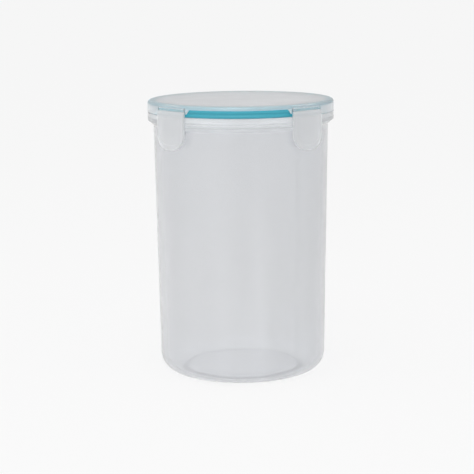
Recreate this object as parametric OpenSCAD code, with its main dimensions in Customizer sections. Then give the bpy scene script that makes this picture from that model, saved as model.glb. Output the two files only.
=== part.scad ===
// Round food canister with a clip-on lid.
// The mouth is sealed by a silicone ring and locked by four flaps on living hinges.
// Z is up and the origin is the middle of the base; the front is towards -Y.
// Each profile is drawn as radius against height and turned about the Z axis.

/* [Container] */
// Overall height with the lid on
height = 190; // [110:1:260]
// Outer diameter of the body just under the rim
body_d = 120.7; // [90:0.1:160]
// How much smaller the body's radius is at the base than under the rim
draft = 2.8; // [0:0.1:5]
// Thickness of the side wall
wall_t = 1.6; // [1.2:0.1:2.2]
// Thickness of the floor inside the foot ring
floor_t = 2; // [1.5:0.1:4]
// Radius of the rounded outer corner at the base
base_round = 12.5; // [6:0.5:18]
// Width of the foot ring that the container stands on
foot_w = 6; // [4:0.5:10]
// Height of the shallow recess inside the foot ring
foot_recess = 1; // [0.5:0.1:2]

/* [Rim] */
// How far the locking rim reaches out past the body
rim_reach = 3.9; // [3.6:0.1:4.5]
// Height of the rim's upright outer face
rim_face_h = 5.6; // [4.5:0.1:7]
// Height of the sloping underside that the flaps lock under
rim_slope_h = 3.5; // [3.3:0.1:4]
// Height of the bead on the mouth that presses into the seal
bead_h = 0.7; // [0.4:0.1:1]

/* [Lid] */
// Thickness of the lid's top plate
plate_t = 2.5; // [2.4:0.1:3]
// Radius of the rounded edge of the top plate
plate_round = 2.3; // [0.8:0.1:2.3]
// Height of the gap between the rim and the plate, which the seal fills
seal_gap = 5.4; // [5:0.1:7]
// Height of the plug ring that reaches down into the mouth
plug_h = 10.6; // [8:0.1:16]
// Thickness of the plug ring
plug_t = 1.6; // [1.2:0.1:2.4]
// Radial clearance between the plug ring and the mouth
plug_gap = 0.4; // [0.2:0.05:0.8]
// Thickness of the side skirts
skirt_t = 1.25; // [1:0.05:1.3]
// Height of the small gusset at each end of a window over the seal
gusset_h = 3.2; // [1:0.1:4]
// Width of each gusset where it meets the plate
gusset_w = 2.6; // [1:0.1:4]

// Height of the seal's crown, which sits in a groove under the plate
crown_h = 1.3; // [0.8:0.1:1.4]

/* [Flaps] */
// Width of a locking flap
flap_w = 26; // [18:0.5:27]
// Height of a flap from its top edge to its tip
flap_h = 25.7; // [22:0.1:34]
// Thickness of a flap at its border
flap_t = 1.7; // [1.4:0.1:2.4]
// Corner radius at the tip of a flap
flap_round = 10.5; // [5:0.5:12]
// Width of the raised border round a flap
border_w = 1.9; // [1.2:0.1:3]
// Height of the raised finger lip at the tip of a flap
lip_h = 3.4; // [2:0.1:6]
// How far the border stands out from the flap's face
border_rise = 0.35; // [0.2:0.05:0.5]
// Width of the hook inside a flap
hook_w = 17; // [8:0.5:17]
// Thickness of a living hinge
hinge_t = 0.45; // [0.3:0.05:0.5]

/* [Hidden] */
$fn = 128;

// Directions of the four flaps about Z, measured from +X
FRONT_RIGHT = -45;
REAR_RIGHT = 45;
REAR_LEFT = 135;
FRONT_LEFT = 225;

// A little extra so that a cutter passes right through what it cuts
over = 1;
// How far a skirt, gusset or plug reaches into the plate that it is moulded onto
weld = 0.1;
// Fine clearance between parts that rest close together
fine_gap = 0.1;
// Clearance round the seal's crown
fit = 0.03;
// Running clearance round the rim for the flaps
flap_gap = 0.3;

// Heights
plate_z = height - plate_t;
rim_z = plate_z - seal_gap;
face_z = rim_z - rim_face_h;
slope_z = face_z - rim_slope_h;
bead_z = rim_z + bead_h;
floor_z = foot_recess + floor_t;

// Radii
body_r = body_d / 2;
rim_r = body_r + rim_reach;
base_r = body_r - draft;
foot_r = base_r - base_round;
mouth_r = body_r - wall_t;

// The groove cored out of the rim's top, so that the rim isn't one thick lump
core_in = mouth_r + 1.6;
core_out = rim_r - 1.4;
core_z = face_z + 1.3;

// The fine line round the rim's outer face
line_z = face_z + 2;
line_d = 0.25;
line_h = 0.5;

// Seal ring
seal_in = mouth_r - plug_gap + fine_gap;
seal_out = rim_r - 1.65;
seal_lip = 0.35;
seal_edge = 0.5;
crown_in = seal_in + 0.75;
crown_out = seal_out - 1.2;
crown_z = plate_z + crown_h;

// Flaps: the flat chord on the plate's edge is as wide as the bay that a flap needs
bay_half_w = flap_w / 2 + 0.34;
chord_r = sqrt(rim_r * rim_r - bay_half_w * bay_half_w);
hinge_z = plate_z + 0.8;
flap_in = rim_r + flap_gap;
flap_out = flap_in + flap_t;
flap_top_z = plate_z - 1.8;
flap_tip_z = flap_top_z - flap_h;
bar_in = chord_r + 0.05;
bar_z = rim_z + 0.4;
bevel_flat = 0.6;
bevel_drop = 2;
skirt_half = 90 - 45 - asin(bay_half_w / rim_r) - 1;

// Points along a circular arc about c, from angle a to angle b
function arc(c, r, a, b, n = 10) =
  [for (i = [0 : n]) c + r * [cos(a + (b - a) * i / n), sin(a + (b - a) * i / n)]];

// Outer radius of the body at height z
function outer_r(z) = base_r + draft * z / slope_z;

// Solid of revolution from a closed profile of [radius, height] points
module turned(profile) {
  rotate_extrude() polygon(profile);
}

// A flat outline drawn as [across, up], stood up square to X and made depth thick from x
module upright(x, depth) {
  translate([x, 0, 0])
    rotate([90, 0, 90])
      linear_extrude(depth) children();
}

// Tongue shape of a flap with its sides moved in by inset and its tip moved up by lift
module tongue(inset = 0, lift = 0, top = height) {
  r = flap_round - inset;
  half = flap_w / 2 - inset;
  tip = flap_tip_z + lift;
  union() {
    translate([-half, tip + r]) square([2 * half, top - tip - r]);
    translate([-half + r, tip]) square([2 * (half - r), r + over]);
    for (side = [-1, 1])
      translate([side * (half - r), tip + r]) circle(r);
  }
}

module container() {
  corner_r = outer_r(base_round);
  outside = concat(
    [[0, foot_recess], [foot_r - foot_w - foot_recess, foot_recess], [foot_r - foot_w, 0]],
    arc([corner_r - base_round, base_round], base_round, -90, 0),
    [[body_r, slope_z], [rim_r, face_z],
     [rim_r, line_z], [rim_r - line_d, line_z + line_h / 2], [rim_r, line_z + line_h]],
    arc([rim_r - 0.4, rim_z - 0.4], 0.4, 0, 90, 4));
  groove = [[core_out, rim_z], [core_out - 0.2, core_z], [core_in + 0.2, core_z], [core_in, rim_z]];
  inside = concat(
    arc([core_in - 0.4, bead_z - 0.4], 0.4, 0, 90, 4),
    arc([mouth_r + 0.4, bead_z - 0.4], 0.4, 90, 180, 4),
    [[mouth_r, slope_z]],
    arc([corner_r - base_round, base_round], base_round - wall_t, 0, -90),
    [[foot_r - foot_recess, wall_t], [foot_r - foot_w, floor_z], [0, floor_z]]);
  color([0.86, 0.89, 0.91, 0.55])
    turned(concat(outside, groove, inside));
}

module lid_plate() {
  turned(concat(
    [[0, plate_z], [crown_in - fit, plate_z], [crown_in - fit, crown_z + fit],
     [crown_out + fit, crown_z + fit], [crown_out + fit, plate_z], [rim_r, plate_z]],
    arc([rim_r - plate_round, height - plate_round], plate_round, 0, 90, 6),
    [[0, height]]));
}

module lid_plug() {
  out = mouth_r - plug_gap;
  low = plate_z - plug_h;
  turned([[out - plug_t, plate_z + weld], [out - plug_t, low + 0.4], [out - plug_t + 0.4, low],
    [out - 0.9, low], [out, low + 2.5], [out, plate_z + weld]]);
}

// Skirt on one side of the lid, closing the gap over the seal between two flaps
module lid_skirt() {
  rotate([0, 0, -skirt_half])
    rotate_extrude(angle = 2 * skirt_half)
      translate([rim_r - skirt_t, rim_z + 0.25])
        square([skirt_t, seal_gap - 0.25 + weld]);
}

// Small web under the plate's edge, beside a flap whose window lies on the given side
module lid_gusset(side) {
  in = side * (bay_half_w + flap_gap);
  out = side * (bay_half_w + flap_gap + gusset_w);
  low = plate_z - gusset_h;
  high = plate_z + weld;
  intersection() {
    rotate_extrude()
      translate([rim_r - skirt_t, low])
        square([skirt_t - fine_gap, high - low]);
    upright(flap_in / 2, rim_r)
      polygon([[in, low], [out, plate_z], [out, high], [in, high]]);
  }
}

module lid() {
  color([0.84, 0.88, 0.91, 0.6])
    difference() {
      union() {
        lid_plate();
        lid_plug();
        for (side = [0, 180])
          rotate([0, 0, side]) lid_skirt();
        for (at = [[FRONT_RIGHT, -1], [REAR_RIGHT, 1], [REAR_LEFT, -1], [FRONT_LEFT, 1]])
          rotate([0, 0, at[0]]) lid_gusset(at[1]);
      }
      for (a = [FRONT_RIGHT, REAR_RIGHT, REAR_LEFT, FRONT_LEFT])
        rotate([0, 0, a])
          translate([chord_r, -bay_half_w - over, rim_z])
            cube([rim_r, 2 * (bay_half_w + over), height]);
    }
}

module seal_ring() {
  bottom = rim_z + fine_gap;
  notch_out = core_in + 0.15;
  color([0.25, 0.62, 0.70])
    turned(concat(
      [[seal_in, plate_z], [seal_in, bead_z], [notch_out, bead_z], [notch_out, bottom]],
      arc([seal_out - seal_edge, bottom + seal_edge], seal_edge, -90, 0, 4),
      [[seal_out - seal_lip, (bottom + plate_z) / 2 - 0.6],
       [seal_out - seal_lip, (bottom + plate_z) / 2 + 0.2]],
      arc([seal_out - seal_edge, plate_z - seal_edge], seal_edge, 0, 90, 4),
      [[crown_out, plate_z], [crown_out, crown_z], [crown_in, crown_z], [crown_in, plate_z]]));
}

// Straight bar along the top of a flap, which the living hinge joins
module flap_bar() {
  intersection() {
    cylinder(h = height, r = flap_out);
    translate([0, flap_w / 2, 0])
      rotate([90, 0, 0])
        linear_extrude(flap_w)
          polygon([[bar_in, bar_z], [flap_out + over, bar_z],
            [flap_out + over, flap_top_z - bevel_drop - over * bevel_drop / (flap_out - bar_in - bevel_flat)],
            [bar_in + bevel_flat, flap_top_z], [bar_in, flap_top_z]]);
  }
}

// Curved panel of a flap, as tall as the bar and rounded at its tip
module flap_panel() {
  intersection() {
    difference() {
      cylinder(h = bar_z + over / 2, r = flap_out);
      translate([0, 0, -over]) cylinder(h = height, r = flap_in);
    }
    upright(flap_in / 2, rim_r) tongue();
  }
}

// Field inside the raised border, cut from the flap's outer face
module flap_field() {
  field_top = flap_top_z - bevel_drop - border_w;
  difference() {
    upright(flap_in / 2, rim_r) tongue(border_w, lip_h, field_top);
    translate([0, 0, -over]) cylinder(h = height, r = flap_out - border_rise);
  }
}

// Hook that catches under the rim's sloping underside
module flap_hook() {
  slope = rim_slope_h / rim_reach;
  tip_r = body_r + 1.25;
  top_z = slope_z + slope * (tip_r - body_r) - 0.35;
  root_r = flap_in + flap_t / 2;
  intersection() {
    turned([[root_r, top_z + slope * (root_r - tip_r)], [tip_r, top_z], [tip_r - 0.3, top_z - 0.8],
      [tip_r, top_z - 2.2], [flap_in, top_z - 5], [root_r, top_z - 5]]);
    translate([0, -hook_w / 2, 0]) cube([flap_out, hook_w, height]);
  }
}

module flap(direction) {
  color([0.88, 0.91, 0.93, 0.6])
    rotate([0, 0, direction])
      union() {
        difference() {
          union() {
            flap_bar();
            flap_panel();
          }
          flap_field();
        }
        flap_hook();
      }
}

// Thin web that bends when a flap is lifted
module living_hinge(direction) {
  half = flap_w / 2 - 0.1;
  color([0.80, 0.88, 0.91, 0.6])
    rotate([0, 0, direction])
      translate([chord_r, -half, flap_top_z])
        cube([hinge_t, 2 * half, hinge_z - flap_top_z]);
}

container();
lid();
seal_ring();
flap(FRONT_RIGHT);  // flap_front_right
flap(REAR_RIGHT);  // flap_rear_right
flap(REAR_LEFT);  // flap_rear_left
flap(FRONT_LEFT);  // flap_front_left
living_hinge(FRONT_RIGHT);  // hinge_front_right
living_hinge(REAR_RIGHT);  // hinge_rear_right
living_hinge(REAR_LEFT);  // hinge_rear_left
living_hinge(FRONT_LEFT);  // hinge_front_left
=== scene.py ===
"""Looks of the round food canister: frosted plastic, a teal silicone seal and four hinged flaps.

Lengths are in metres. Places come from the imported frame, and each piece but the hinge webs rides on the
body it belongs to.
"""

import math

import bpy
from mathutils import Matrix, Vector


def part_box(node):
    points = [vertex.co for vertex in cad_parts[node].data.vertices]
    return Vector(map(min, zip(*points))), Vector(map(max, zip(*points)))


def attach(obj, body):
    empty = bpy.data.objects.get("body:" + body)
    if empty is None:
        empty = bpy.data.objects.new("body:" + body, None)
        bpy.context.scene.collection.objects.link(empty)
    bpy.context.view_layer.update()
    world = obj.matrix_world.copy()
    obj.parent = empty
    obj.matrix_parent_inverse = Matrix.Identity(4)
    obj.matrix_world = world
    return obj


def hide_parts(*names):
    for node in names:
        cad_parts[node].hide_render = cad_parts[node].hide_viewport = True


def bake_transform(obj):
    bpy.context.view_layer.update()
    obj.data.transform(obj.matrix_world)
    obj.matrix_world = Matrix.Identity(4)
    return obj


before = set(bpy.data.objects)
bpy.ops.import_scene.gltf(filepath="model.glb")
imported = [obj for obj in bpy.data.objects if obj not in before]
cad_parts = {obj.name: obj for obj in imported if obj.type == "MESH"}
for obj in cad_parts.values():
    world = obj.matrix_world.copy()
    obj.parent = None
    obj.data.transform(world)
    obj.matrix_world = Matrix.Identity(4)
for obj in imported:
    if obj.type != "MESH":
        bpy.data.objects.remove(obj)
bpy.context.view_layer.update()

MM = 0.001

# ---------------------------------------------------------------- sizes taken from the frame

rim_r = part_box("container")[1].x
bead_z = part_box("container")[1].z
top_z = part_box("lid")[1].z
plug_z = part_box("lid")[0].z
seal_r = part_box("seal_ring")[1].x
seal_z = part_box("seal_ring")[0].z
crown_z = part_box("seal_ring")[1].z
flap_tip_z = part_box("flap_front_right")[0].z
flap_top_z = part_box("flap_front_right")[1].z
hinge_top_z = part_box("hinge_front_right")[1].z

# ---------------------------------------------------------------- sizes that the frame doesn't hold

plate_z = crown_z - 1.3 * MM
rim_z = bead_z - 0.7 * MM
face_z = rim_z - 5.6 * MM
slope_z = face_z - 3.5 * MM
body_r = rim_r - 3.9 * MM
base_r = body_r - 2.8 * MM
wall_t = 1.6 * MM
mouth_r = body_r - wall_t
base_round = 12.5 * MM
# The base corner is rounded a little less than in the CAD, whose arc meets the leaning wall sooner
base_blend = base_round - 0.4 * MM
foot_w = 6 * MM
foot_recess = 1 * MM
floor_z = 3 * MM
core_in = mouth_r + 1.6 * MM
core_out = rim_r - 1.4 * MM

plate_round = 2.3 * MM
gusset_h = 3.2 * MM
gusset_w = 2.6 * MM
plug_r = mouth_r - 0.4 * MM
plug_t = 1.6 * MM
skirt_t = 1.25 * MM
skirt_z = rim_z + 0.25 * MM
seal_in = plug_r + 0.1 * MM
crown_in = seal_in + 0.75 * MM
crown_out = seal_r - 1.2 * MM

flap_half_w = 13 * MM
bay_half_w = 13.34 * MM
flap_in_r = rim_r + 0.3 * MM
flap_out_r = flap_in_r + 1.7 * MM
flap_round = 10.5 * MM
border_w = 1.9 * MM
border_rise = 0.35 * MM
lip_h = 3.4 * MM
bevel_drop = 2 * MM
bevel_flat = 0.6 * MM
hook_half_w = 8.5 * MM
hook_z = slope_z + 0.77 * MM
bar_z = rim_z + 0.4 * MM
hinge_t = 0.45 * MM
chord_r = math.sqrt(rim_r ** 2 - bay_half_w ** 2)
bar_in = chord_r + 0.05 * MM
# Touching pieces keep this far apart, so that their faces don't lie in one plane
sliver = 0.02 * MM
# How far the lid's outer wall reaches down where it has neither skirt nor gusset
hair = 0.03 * MM

FLAP_ANGLES = {"front_right": -45, "rear_right": 45, "rear_left": 135, "front_left": 225}
SKIRT_MIDDLES = (0, 180)
WINDOW_MIDDLES = (90, 270)
bay_half = math.degrees(math.asin(bay_half_w / rim_r))
skirt_half = 45 - bay_half - 1
gusset_span = math.degrees(gusset_w / rim_r)

# ---------------------------------------------------------------- camera, floor and light

CAMERA_AZ = 1.7
CAMERA_EL = 10.17
CAMERA_ROLL = -0.56
CAMERA_DISTANCE = 1.1
CAMERA_AIM_Z = 0.0928
CAMERA_SIDE = -0.00338
FOCAL_IN_FRAME_WIDTHS = 3.3095
SENSOR_MM = 36
WORLD_DIM = 0.35
WORLD_BRIGHT = 0.97
BRIGHT_SIDE = (-0.2, -0.65, 0.7)
FLOOR_GLOW = 0.824
TOP_WATTS = 9
FLOOR_HALF = 14


def rotated_z(degrees):
    return Matrix.Rotation(math.radians(degrees), 3, "Z")


def make_camera():
    """A long lens in front of the canister, looking down on it, with the reference view's small tilt."""
    pitch = math.radians(CAMERA_EL)
    turn = rotated_z(CAMERA_AZ)
    forward = turn @ Vector((0, math.cos(pitch), -math.sin(pitch)))
    level = turn @ Vector((1, 0, 0))
    upright = level.cross(forward)
    roll = math.radians(CAMERA_ROLL)
    right = level * math.cos(roll) + upright * math.sin(roll)
    up = upright * math.cos(roll) - level * math.sin(roll)
    place = Vector((0, 0, CAMERA_AIM_Z)) - forward * CAMERA_DISTANCE + right * CAMERA_SIDE
    data = bpy.data.cameras.new("camera")
    data.sensor_width = SENSOR_MM
    data.lens = FOCAL_IN_FRAME_WIDTHS * SENSOR_MM
    data.clip_start = 0.01
    data.clip_end = 100
    camera = bpy.data.objects.new("camera", data)
    camera.matrix_world = Matrix((
        (right.x, up.x, -forward.x, place.x),
        (right.y, up.y, -forward.y, place.y),
        (right.z, up.z, -forward.z, place.z),
        (0, 0, 0, 1),
    ))
    bpy.context.scene.collection.objects.link(camera)
    bpy.context.scene.camera = camera


def soft_box(name, place, aim, size, watts):
    data = bpy.data.lights.new(name, "AREA")
    data.shape = "RECTANGLE"
    data.size, data.size_y = size
    data.energy = watts
    light = bpy.data.objects.new(name, data)
    light.location = place
    light.visible_camera = False
    light.rotation_euler = (Vector(aim) - Vector(place)).to_track_quat("-Z", "Y").to_euler()
    bpy.context.scene.collection.objects.link(light)


def make_lights():
    """Soft studio light: a white surround, brightest in front and above, and a large soft box there."""
    world = bpy.data.worlds.new("studio")
    world.use_nodes = True
    nodes, links = world.node_tree.nodes, world.node_tree.links
    direction = nodes.new("ShaderNodeTexCoord").outputs["Generated"]
    towards = nodes.new("ShaderNodeVectorMath")
    towards.operation = "DOT_PRODUCT"
    towards.inputs[1].default_value = Vector(BRIGHT_SIDE).normalized()
    links.new(direction, towards.inputs[0])
    level = ranged(nodes, links, towards.outputs["Value"], WORLD_DIM, WORLD_BRIGHT, -1, 1)
    links.new(level, nodes["Background"].inputs["Strength"])
    nodes["Background"].inputs["Color"].default_value = (1, 1, 1, 1)
    bpy.context.scene.world = world
    soft_box("top_box", (-0.2, -0.9, 1.5), (0, 0, 0.1), (0.9, 0.5), TOP_WATTS)


def make_floor():
    """Pale paper that fills the view; most of its brightness is its own, so only a faint shadow shows."""
    mesh = bpy.data.meshes.new("floor")
    signs = ((-1, -1), (1, -1), (1, 1), (-1, 1))
    corners = [(x * FLOOR_HALF, y * FLOOR_HALF, -sliver) for x, y in signs]
    mesh.from_pydata(corners, [], [(0, 1, 2, 3)])
    floor = bpy.data.objects.new("floor", mesh)
    bpy.context.scene.collection.objects.link(floor)
    material = bpy.data.materials.new("floor_paper")
    material.use_nodes = True
    surface = material.node_tree.nodes["Principled BSDF"]
    surface.inputs["Base Color"].default_value = (0.12, 0.12, 0.12, 1)
    surface.inputs["Roughness"].default_value = 0.9
    surface.inputs["Specular IOR Level"].default_value = 0.0
    surface.inputs["Emission Color"].default_value = (1, 1, 1, 1)
    surface.inputs["Emission Strength"].default_value = FLOOR_GLOW
    mesh.materials.append(material)


# ---------------------------------------------------------------- mesh helpers

# A point closer to the Z axis than this lies on it
ON_AXIS = 1e-7
ROUND_STEPS = 256


def object_from(name, verts, faces, material):
    mesh = bpy.data.meshes.new(name)
    mesh.from_pydata(verts, [], faces)
    mesh.validate()
    mesh.shade_smooth()
    mesh.materials.append(material)
    obj = bpy.data.objects.new(name, mesh)
    bpy.context.scene.collection.objects.link(obj)
    return obj


def softened(corners):
    """A closed outline of (r, z, fillet radius) corners as plain (r, z) points, each corner rounded.
    Two extra points on each straight part keep the shading of flat faces flat."""
    arcs = []
    steps = 5
    count = len(corners)
    for i, (r, z, fillet) in enumerate(corners):
        here = Vector((r, z))
        if fillet <= 0:
            arcs.append([here])
            continue
        before = (Vector(corners[i - 1][:2]) - here).normalized()
        after = (Vector(corners[(i + 1) % count][:2]) - here).normalized()
        half_angle = before.angle(after) / 2
        reach = fillet / math.tan(half_angle)
        middle = here + (before + after).normalized() * fillet / math.sin(half_angle)
        start = here + before * reach - middle
        sweep = start.angle_signed(here + after * reach - middle)
        arcs.append([middle + Matrix.Rotation(-sweep * k / steps, 2) @ start for k in range(steps + 1)])
    points = []
    for i, arc in enumerate(arcs):
        points += arc
        gap = arcs[(i + 1) % count][0] - arc[-1]
        hold = min(0.3, 0.3 * MM / max(gap.length, ON_AXIS))
        if arc[-1].x > ON_AXIS or arcs[(i + 1) % count][0].x > ON_AXIS:
            points += [arc[-1] + gap * hold, arc[-1] + gap * (1 - hold)]
    return [tuple(p) for p in points]


def turned(name, profile_at, material, angles):
    """A solid of revolution whose closed profile may change with the angle: profile_at(angle) gives its
    (r, z) points. Points on the axis are shared by all angles."""
    verts, faces, columns = [], [], []
    shared = {}
    for angle in angles:
        c, s = math.cos(math.radians(angle)), math.sin(math.radians(angle))
        column = []
        for i, (r, z) in enumerate(profile_at(angle)):
            if r < ON_AXIS:
                if i not in shared:
                    shared[i] = len(verts)
                    verts.append((0, 0, z))
                column.append(shared[i])
            else:
                column.append(len(verts))
                verts.append((r * c, r * s, z))
        columns.append(column)
    for a, b in zip(columns, columns[1:] + columns[:1]):
        for i in range(len(a)):
            j = (i + 1) % len(a)
            face = []
            for v in (a[i], b[i], b[j], a[j]):
                if v not in face:
                    face.append(v)
            if len(face) > 2:
                faces.append(face)
    return object_from(name, verts, faces, material)


def even_angles(count):
    return [360 * k / count for k in range(count)]


# ---------------------------------------------------------------- materials

PLASTIC_IOR = 1.49
COAT_ROUGHNESS = 0.12
# Noise scales are in waves per metre
GRAIN_SCALE = 2600
MOTTLE_DIP = (0.95, 0.95, 0.95)
TEAL = (0.047, 0.375, 0.475)


def new_material(name):
    material = bpy.data.materials.new(name)
    material.use_nodes = True
    return material, material.node_tree.nodes, material.node_tree.links


def noise(nodes, links, scale, detail, coordinates, stretch=(1, 1, 1)):
    """Smooth noise; a stretch under 1 draws it out along that axis."""
    mapping = nodes.new("ShaderNodeMapping")
    mapping.inputs["Scale"].default_value = stretch
    links.new(coordinates, mapping.inputs["Vector"])
    texture = nodes.new("ShaderNodeTexNoise")
    texture.inputs["Scale"].default_value = scale
    texture.inputs["Detail"].default_value = detail
    links.new(mapping.outputs["Vector"], texture.inputs["Vector"])
    return texture.outputs["Fac"]


def ranged(nodes, links, value, low, high, start=0.3, end=0.7):
    """Carries a value between start and end over to between low and high."""
    node = nodes.new("ShaderNodeMapRange")
    node.inputs["From Min"].default_value = start
    node.inputs["From Max"].default_value = end
    node.inputs["To Min"].default_value = low
    node.inputs["To Max"].default_value = high
    links.new(value, node.inputs["Value"])
    return node.outputs["Result"]


def bumped(nodes, links, height, depth, strength):
    bump = nodes.new("ShaderNodeBump")
    bump.inputs["Strength"].default_value = strength
    bump.inputs["Distance"].default_value = depth
    links.new(height, bump.inputs["Height"])
    return bump.outputs["Normal"]


def blended(nodes, links, share, first, second, how="MIX"):
    """A colour that goes from first to second; each may be a plain colour or a node's output."""
    mix = nodes.new("ShaderNodeMix")
    mix.data_type = "RGBA"
    mix.blend_type = how
    links.new(share, mix.inputs["Factor"])
    for socket, colour in ((mix.inputs["A"], first), (mix.inputs["B"], second)):
        if isinstance(colour, bpy.types.NodeSocket):
            links.new(colour, socket)
        else:
            socket.default_value = (*colour, 1)
    return mix.outputs["Result"]


def by_height(nodes, links, where, stops):
    """Colour that changes with the height above the base; stops are (height, colour) from low to high."""
    place = nodes.new("ShaderNodeSeparateXYZ")
    links.new(where, place.inputs["Vector"])
    share = ranged(nodes, links, place.outputs["Z"], 0, 1, 0, top_z)
    ramp = nodes.new("ShaderNodeValToRGB")
    for i, (height, colour) in enumerate(stops):
        if i < 2:
            stop = ramp.color_ramp.elements[i]
            stop.position = height / top_z
        else:
            stop = ramp.color_ramp.elements.new(height / top_z)
        stop.color = (*colour, 1)
    links.new(share, ramp.inputs["Fac"])
    return ramp.outputs["Color"]


def see_through_shadow(nodes, links, surface):
    """Lets most light through in shadows, so that the pieces inside and behind are lit."""
    light_path = nodes.new("ShaderNodeLightPath")
    clear = nodes.new("ShaderNodeBsdfTransparent")
    clear.inputs["Color"].default_value = (0.93, 0.94, 0.95, 1)
    choose = nodes.new("ShaderNodeMixShader")
    links.new(light_path.outputs["Is Shadow Ray"], choose.inputs["Fac"])
    links.new(surface.outputs["BSDF"], choose.inputs[1])
    links.new(clear.outputs["BSDF"], choose.inputs[2])
    links.new(choose.outputs["Shader"], nodes["Material Output"].inputs["Surface"])


def frosted(name, haze, coat=0.6, sheen=0.0, gleam=1.0):
    """Moulded polypropylene: it passes light, blurs what is behind it and has a milky haze of its own.
    Sheen lightens its edges, and a gleam under 1 dulls its reflections."""
    material, nodes, links = new_material(name)
    surface = nodes["Principled BSDF"]
    surface.inputs["IOR"].default_value = PLASTIC_IOR
    surface.inputs["Transmission Weight"].default_value = 1 - haze
    surface.inputs["Coat Weight"].default_value = coat
    surface.inputs["Coat Roughness"].default_value = COAT_ROUGHNESS
    surface.inputs["Sheen Weight"].default_value = sheen
    surface.inputs["Specular Tint"].default_value = (gleam, gleam, gleam, 1)
    where = nodes.new("ShaderNodeTexCoord").outputs["Object"]
    grain = noise(nodes, links, GRAIN_SCALE, 2, where)
    links.new(bumped(nodes, links, grain, 0.02 * MM, 0.25), surface.inputs["Normal"])
    see_through_shadow(nodes, links, surface)
    return material, nodes, links, where


def mottled(nodes, links, mottle, tint, roughness):
    """Makes the tint a little darker, and the surface a little rougher, where the mottle is strong."""
    surface = nodes["Principled BSDF"]
    colour = blended(nodes, links, mottle, tint, MOTTLE_DIP, "MULTIPLY")
    spread = ranged(nodes, links, mottle, roughness * 0.85, roughness * 1.15)
    links.new(colour, surface.inputs["Base Color"])
    links.new(spread, surface.inputs["Roughness"])


def clouded_plastic(name, tint, haze, roughness, sheen=0.0):
    """Frosted plastic with soft clouds in it."""
    material, nodes, links, where = frosted(name, haze, sheen=sheen)
    clouds = noise(nodes, links, 38, 3, where, (1, 1, 0.35))
    mottled(nodes, links, clouds, tint, roughness)
    return material


def body_plastic():
    """The container, with faint upright streaks. Its tint is painted light: it is lighter at the base and
    on the rim and darkest just below the rim, to offset the shade where one looks through more walls and
    under the lid.
    The plastic absorbs a little light, so its wall looks darker where it is seen edge on."""
    material, nodes, links, where = frosted("frosted_body_plastic", haze=0.25, coat=0, gleam=0.75)
    # Painted light: the tint is raised at the base and on the rim, where the wall would look dim through
    # more layers of plastic and under the lid, and is lowest just below the rim
    tint = by_height(nodes, links, where, [
        (6 * MM, (0.845, 0.85, 0.862)),
        (40 * MM, (0.83, 0.833, 0.84)),
        (80 * MM, (0.82, 0.823, 0.83)),
        (slope_z - 2 * MM, (0.795, 0.8, 0.81)),
        (slope_z + 2 * MM, (0.96, 0.965, 0.97)),
    ])
    streaks = ranged(nodes, links, noise(nodes, links, 55, 2, where, (1, 1, 0.06)), 0, 1)
    mottled(nodes, links, streaks, tint, 0.03)
    depth = nodes.new("ShaderNodeVolumeAbsorption")
    depth.inputs["Color"].default_value = (0.0, 0.06, 0.14, 1)
    depth.inputs["Density"].default_value = 20
    links.new(depth.outputs["Volume"], nodes["Material Output"].inputs["Volume"])
    return material


def lid_plastic():
    return clouded_plastic("frosted_lid_plastic", (0.9, 0.908, 0.92), haze=0.35, roughness=0.38)


def flap_plastic():
    return clouded_plastic("frosted_flap_plastic", (0.735, 0.746, 0.76), haze=0.5, roughness=0.4, sheen=0.6)


def hinge_plastic():
    return clouded_plastic("frosted_hinge_plastic", (0.93, 0.935, 0.94), haze=0.15, roughness=0.2)


def teal_silicone():
    """Soft teal rubber: matt, slightly waxy, with a fine skin."""
    material, nodes, links = new_material("teal_silicone")
    surface = nodes["Principled BSDF"]
    where = nodes.new("ShaderNodeTexCoord").outputs["Object"]
    clouds = noise(nodes, links, 60, 3, where)
    skin = noise(nodes, links, 1800, 3, where)
    colour = blended(nodes, links, clouds, [0.9 * c for c in TEAL], TEAL)
    links.new(colour, surface.inputs["Base Color"])
    surface.inputs["Subsurface Weight"].default_value = 0.25
    surface.inputs["Subsurface Radius"].default_value = (0.5, 1.0, 1.2)
    surface.inputs["Subsurface Scale"].default_value = 0.6 * MM
    links.new(ranged(nodes, links, skin, 0.38, 0.55), surface.inputs["Roughness"])
    links.new(bumped(nodes, links, skin, 0.03 * MM, 0.3), surface.inputs["Normal"])
    return material


# ---------------------------------------------------------------- pieces

def outer_r(z):
    return base_r + (body_r - base_r) * z / slope_z


def make_container(material):
    foot_r = base_r - base_round
    line_z = face_z + 2 * MM
    core_z = face_z + 1.3 * MM
    inner_corner_r = outer_r(wall_t) - wall_t
    low_r = outer_r(0)
    corners = [
        (0, foot_recess, 0),
        (foot_r - foot_w - foot_recess, foot_recess, 1.6 * MM),
        (foot_r - foot_w, 0, 1.6 * MM),
        (low_r, 0, base_blend),
        (body_r, slope_z, 1.2 * MM),
        (rim_r, face_z, 0.4 * MM),
        (rim_r, line_z, 0.05 * MM),
        (rim_r - 0.25 * MM, line_z + 0.25 * MM, 0.1 * MM),
        (rim_r, line_z + 0.5 * MM, 0.05 * MM),
        (rim_r, rim_z, 0.4 * MM),
        (core_out, rim_z, 0.3 * MM),
        (core_out - 0.2 * MM, core_z, 0.4 * MM),
        (core_in + 0.2 * MM, core_z, 0.4 * MM),
        (core_in, bead_z, 0.4 * MM),
        (mouth_r, bead_z, 0.4 * MM),
        (mouth_r, slope_z, 0),
        (inner_corner_r, wall_t, base_round - wall_t),
        (foot_r - foot_recess, wall_t, 8 * MM),
        (foot_r - foot_w, floor_z, 14 * MM),
        (0, floor_z, 0),
    ]
    profile = softened(corners)
    container = turned("container_shell", lambda angle: profile, material, even_angles(ROUND_STEPS))
    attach(container, "container")
    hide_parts("container")


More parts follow.
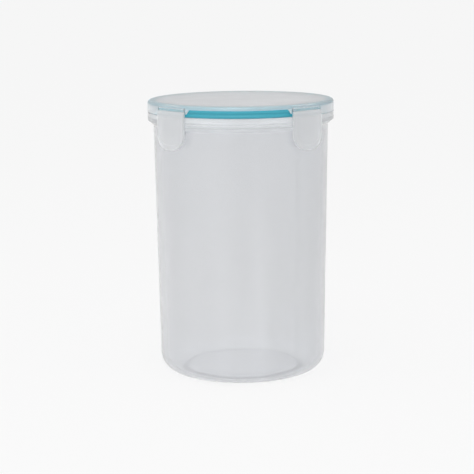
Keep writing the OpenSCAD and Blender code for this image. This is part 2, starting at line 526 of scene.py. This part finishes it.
def make_seal(material):
    """The silicone ring; it is pressed into the lid's plate by a sliver, and shows through as if wetted."""
    edge = 0.5 * MM
    bottom = seal_z
    top = plate_z + sliver
    notch_r = core_in + 0.15 * MM
    middle = (bottom + plate_z) / 2
    corners = [
        (crown_in - sliver, top, 0.02 * MM),
        (seal_in, top, 0.1 * MM),
        (seal_in, bead_z + sliver, 0.1 * MM),
        (notch_r, bead_z + sliver, 0.05 * MM),
        (notch_r, bottom, 0.1 * MM),
        (seal_r, bottom, edge),
        (seal_r, middle - 1.2 * MM, 0.6 * MM),
        (seal_r - 0.35 * MM, middle - 0.6 * MM, 0.4 * MM),
        (seal_r - 0.35 * MM, middle + 0.2 * MM, 0.4 * MM),
        (seal_r, middle + 0.8 * MM, 0.6 * MM),
        (seal_r, top, edge),
        (crown_out + sliver, top, 0.02 * MM),
        (crown_out + sliver, crown_z + sliver, 0.3 * MM),
        (crown_in - sliver, crown_z + sliver, 0.3 * MM),
    ]
    profile = softened(corners)
    seal = turned("seal", lambda angle: profile, material, even_angles(ROUND_STEPS))
    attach(seal, "lid")
    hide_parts("seal_ring")


def away_from(angle, middle):
    """Signed degrees from the direction middle to the direction angle."""
    return (angle - middle + 180) % 360 - 180


def edge_r(angle):
    """Radius of the lid plate's edge: round, but cut straight where a flap hangs."""
    nearest = min(abs(away_from(angle, a)) for a in FLAP_ANGLES.values())
    return min(rim_r, chord_r / math.cos(math.radians(nearest)))


def hanging_low(angle):
    """How far down the lid's outer wall reaches: long on the skirts, short and sloping on the gussets."""
    if any(abs(away_from(angle, m)) < skirt_half for m in SKIRT_MIDDLES):
        return skirt_z
    nearest = min(abs(away_from(angle, a)) for a in FLAP_ANGLES.values())
    beside_window = any(abs(away_from(angle, m)) < 45 - bay_half for m in WINDOW_MIDDLES)
    share = 1 - (nearest - bay_half) / gusset_span
    if beside_window and share > 0:
        return plate_z - max(hair, share * gusset_h)
    return plate_z - hair


def lid_angles():
    """Even steps round the lid, with extra ones at the ends of the skirts, gussets and straight edges."""
    angles = set(round(a, 4) for a in even_angles(240))
    for middle in SKIRT_MIDDLES:
        for side in (-1, 1):
            for offset in (-0.12, 0.12):
                angles.add(round((middle + side * (skirt_half + offset)) % 360, 4))
    for middle in FLAP_ANGLES.values():
        for side in (-1, 1):
            for offset in (-0.25, -0.02, 0.05, 0.3, gusset_span):
                angles.add(round((middle + side * (bay_half + offset)) % 360, 4))
    return sorted(angles)


def lid_profile(angle):
    edge = edge_r(angle)
    low = hanging_low(angle)
    low_round = min(0.2 * MM, 0.3 * (plate_z - low))
    inner = edge - skirt_t
    cut = min(1, (rim_r - edge) / (0.3 * MM))
    middle_r = rim_r - plate_round
    middle_z = top_z - plate_round
    start = math.acos(min(1, (edge - middle_r) / plate_round))
    steps = 8
    bends = [start + (math.pi / 2 - start) * k / steps for k in range(steps + 1)]
    rounding = [(middle_r + plate_round * math.cos(t), middle_z + plate_round * math.sin(t), 0)
                for t in bends]
    rounding[0] = (*rounding[0][:2], (0.01 + 0.14 * cut) * MM)
    corners = [
        (0, plate_z, 0),
        (plug_r - plug_t, plate_z, 0.4 * MM),
        (plug_r - plug_t, plug_z, 0.4 * MM),
        (plug_r - 0.9 * MM, plug_z, 0.2 * MM),
        (plug_r, plug_z + 2.5 * MM, 1.0 * MM),
        (plug_r, plate_z, 0.05 * MM),
        (crown_in, plate_z, 0.05 * MM),
        (crown_in, crown_z, 0.3 * MM),
        (crown_out, crown_z, 0.3 * MM),
        (crown_out, plate_z, 0.05 * MM),
        (inner, plate_z, 0.005 * MM),
        (inner, low, low_round),
        (edge, low, low_round),
        *rounding,
        (0, top_z, 0),
    ]
    return softened(corners)


def make_lid(material):
    lid = turned("lid_cover", lid_profile, material, lid_angles())
    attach(lid, "lid")
    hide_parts("lid")


def tongue_rows():
    """Rows of a flap from its top to its tip, as (height, how far round the tip's corner in degrees)."""
    marks = [flap_top_z, bar_z + 0.6 * MM, bar_z, bar_z - 0.5 * MM, hook_z + 3 * MM]
    marks += [hook_z + up for up, depth in reversed(HOOK)]
    marks += [hook_z - 5.4 * MM]
    straight_low = flap_tip_z + flap_round
    marks = [m for m in marks if m > straight_low] + [straight_low]
    rows = []
    for high, low in zip(marks, marks[1:]):
        pieces = max(1, round((high - low) / (0.8 * MM)))
        rows += [(high + (low - high) * k / pieces, 0) for k in range(pieces)]
    corner_steps = 22
    rows += [(None, 90 * k / corner_steps) for k in range(corner_steps + 1)]
    return rows


# How far the hook reaches inwards, as (height over its tip, depth)
HOOK = [(-5 * MM, 0), (-2.2 * MM, 2.95 * MM), (-0.8 * MM, 3.2 * MM), (0, 2.95 * MM), (2.65 * MM, 0)]
ROWS = tongue_rows()
# Columns across a flap, as shares of its half width; they are closest at the ends of the hook
HALF_COLUMNS = [0.12, 0.24, 0.37, 0.5, 0.63, 0.655, 0.68, 0.76, 0.84, 0.92, 1]
COLUMNS = [-c for c in reversed(HALF_COLUMNS)] + [0] + HALF_COLUMNS


def tongue_point(row, column, inset):
    """Place (across, up) of one grid point of a flap; inset is how far sides, tip and top are moved in."""
    side, tip_in, top_in = inset
    height, round_by = ROWS[row]
    half = flap_half_w - side
    corner = flap_round - side
    tip = flap_tip_z + tip_in
    if height is None:
        bend = math.radians(round_by)
        reach = half - corner + corner * math.cos(bend)
        return column * reach, tip + corner * (1 - math.sin(bend))
    low = flap_tip_z + flap_round
    share = (height - low) / (flap_top_z - low)
    return column * half, tip + corner + (flap_top_z - top_in - tip - corner) * share


def outer_face(across, up, sunk):
    """Distance from the axis, along the flap's own direction, of its outer face."""
    face = math.sqrt((flap_out_r - sunk) ** 2 - across ** 2)
    slope = (flap_out_r - bar_in - bevel_flat) / bevel_drop
    return min(face, bar_in + bevel_flat + (flap_top_z - up) * slope)


def hook_depth(up):
    """How far inwards the hook reaches at a height, following its profile."""
    for (low, depth_low), (high, depth_high) in zip(HOOK, HOOK[1:]):
        if low <= up - hook_z <= high:
            return depth_low + (depth_high - depth_low) * (up - hook_z - low) / (high - low)
    return 0


def inner_face(across, up):
    curved = math.sqrt(flap_in_r ** 2 - across ** 2)
    if up > bar_z + 0.1 * MM:
        return bar_in
    if abs(across) < hook_half_w:
        return curved - hook_depth(up)
    return curved


def make_flap(name, material):
    """A tongue-shaped flap with rounded edges, a raised border and finger lip, a hook and a top bar."""
    fillet = 0.5 * MM
    verts, faces = [], []
    rows, cols = len(ROWS), len(COLUMNS)
    rim_keys = [(0, c) for c in range(cols)]
    rim_keys += [(r, cols - 1) for r in range(1, rows)]
    rim_keys += [(rows - 1, c) for c in range(cols - 2, -1, -1)]
    rim_keys += [(r, 0) for r in range(rows - 2, 0, -1)]

    def place(key, inset, sunk, outside, lift):
        across, up = tongue_point(key[0], COLUMNS[key[1]], inset)
        face = outer_face(across, up, sunk) - lift if outside else inner_face(across, up) + lift
        verts.append((face, across, up))
        return len(verts) - 1

    def ring(inset, sunk, outside, lift=0):
        """One loop of points round the flap; lift moves them back into the wall, to round its edge."""
        return {key: place(key, inset, sunk, outside, lift) for key in rim_keys}

    def bridge(a, b):
        for k, key in enumerate(rim_keys):
            after = rim_keys[(k + 1) % len(rim_keys)]
            faces.append((a[key], b[key], b[after], a[after]))

    def fill(edge, inset, sunk, outside):
        grid = dict(edge)
        for r in range(1, rows - 1):
            for c in range(1, cols - 1):
                grid[(r, c)] = place((r, c), inset, sunk, outside, 0)
        for r in range(rows - 1):
            for c in range(cols - 1):
                quad = (grid[(r, c)], grid[(r + 1, c)], grid[(r + 1, c + 1)], grid[(r, c + 1)])
                faces.append(quad if outside else quad[::-1])

    def rounded_rings(outside):
        loops = []
        for k in range(5):
            bend = math.radians(90 * k / 4)
            inset = fillet * (1 - math.cos(bend))
            loops.append(ring((inset, inset, inset), 0, outside, fillet * (1 - math.sin(bend))))
        return loops

    def field_inset(extra):
        return border_w + extra, lip_h + extra, bevel_drop + border_w + extra

    front = rounded_rings(True)
    front.append(ring((fillet + 0.4 * MM, fillet + 0.6 * MM, bevel_drop + 0.1 * MM), 0, True))
    step = 0.5 * MM
    for k in range(6):
        share = k / 5
        rise = border_rise * (1 - math.cos(math.pi * share)) / 2
        front.append(ring(field_inset(step * (share - 0.5)), rise, True))
    front.append(ring(field_inset(0.6 * MM), border_rise, True))
    back = rounded_rings(False)
    for a, b in zip(front, front[1:]):
        bridge(a, b)
    fill(front[-1], field_inset(0.6 * MM), border_rise, True)
    for a, b in zip(back, back[1:]):
        bridge(b, a)
    fill(back[-1], (fillet, fillet, fillet), 0, False)
    bridge(back[0], front[0])
    flap = object_from("flap_tongue_" + name, verts, faces, material)
    flap.data.transform(rotated_z(FLAP_ANGLES[name]).to_4x4())
    body = "flap_" + name
    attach(flap, body)
    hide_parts(body)


def make_hinge(name, material):
    """Thin web between the lid's straight edge and a flap, made of fine steps."""
    half = flap_half_w - 0.1 * MM
    steps_up, steps_across = 14, 26
    verts, faces = [], []
    for side in (0, 1):
        for u in range(steps_up + 1):
            share = u / steps_up
            waist = 0.09 * MM * math.sin(math.pi * share)
            up = flap_top_z + sliver + (hinge_top_z - flap_top_z - sliver) * share
            x = chord_r + (sliver + waist if side == 0 else hinge_t - waist)
            for a in range(steps_across + 1):
                verts.append((x, -half + 2 * half * a / steps_across, up))
    width = steps_across + 1
    sheet = width * (steps_up + 1)
    for u in range(steps_up):
        for a in range(steps_across):
            i = u * width + a
            faces.append((i, i + width, i + width + 1, i + 1))
            faces.append((sheet + i, sheet + i + 1, sheet + i + width + 1, sheet + i + width))
    rim = list(range(width))
    rim += [u * width + steps_across for u in range(1, steps_up + 1)]
    rim += [steps_up * width + a for a in range(steps_across - 1, -1, -1)]
    rim += [u * width for u in range(steps_up - 1, 0, -1)]
    for k, i in enumerate(rim):
        j = rim[(k + 1) % len(rim)]
        faces.append((i, j, sheet + j, sheet + i))
    hinge = object_from("hinge_web_" + name, verts, faces, material)
    turn = rotated_z(FLAP_ANGLES[name])
    hinge.data.transform(turn.to_4x4())
    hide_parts("hinge_" + name)
    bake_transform(hinge)


# ---------------------------------------------------------------- the scene

bpy.context.scene.view_settings.view_transform = "Standard"
make_camera()
make_lights()
make_floor()

make_container(body_plastic())
make_lid(lid_plastic())
make_seal(teal_silicone())
flap_material = flap_plastic()
hinge_material = hinge_plastic()
for flap_name in FLAP_ANGLES:
    make_flap(flap_name, flap_material)
    make_hinge(flap_name, hinge_material)
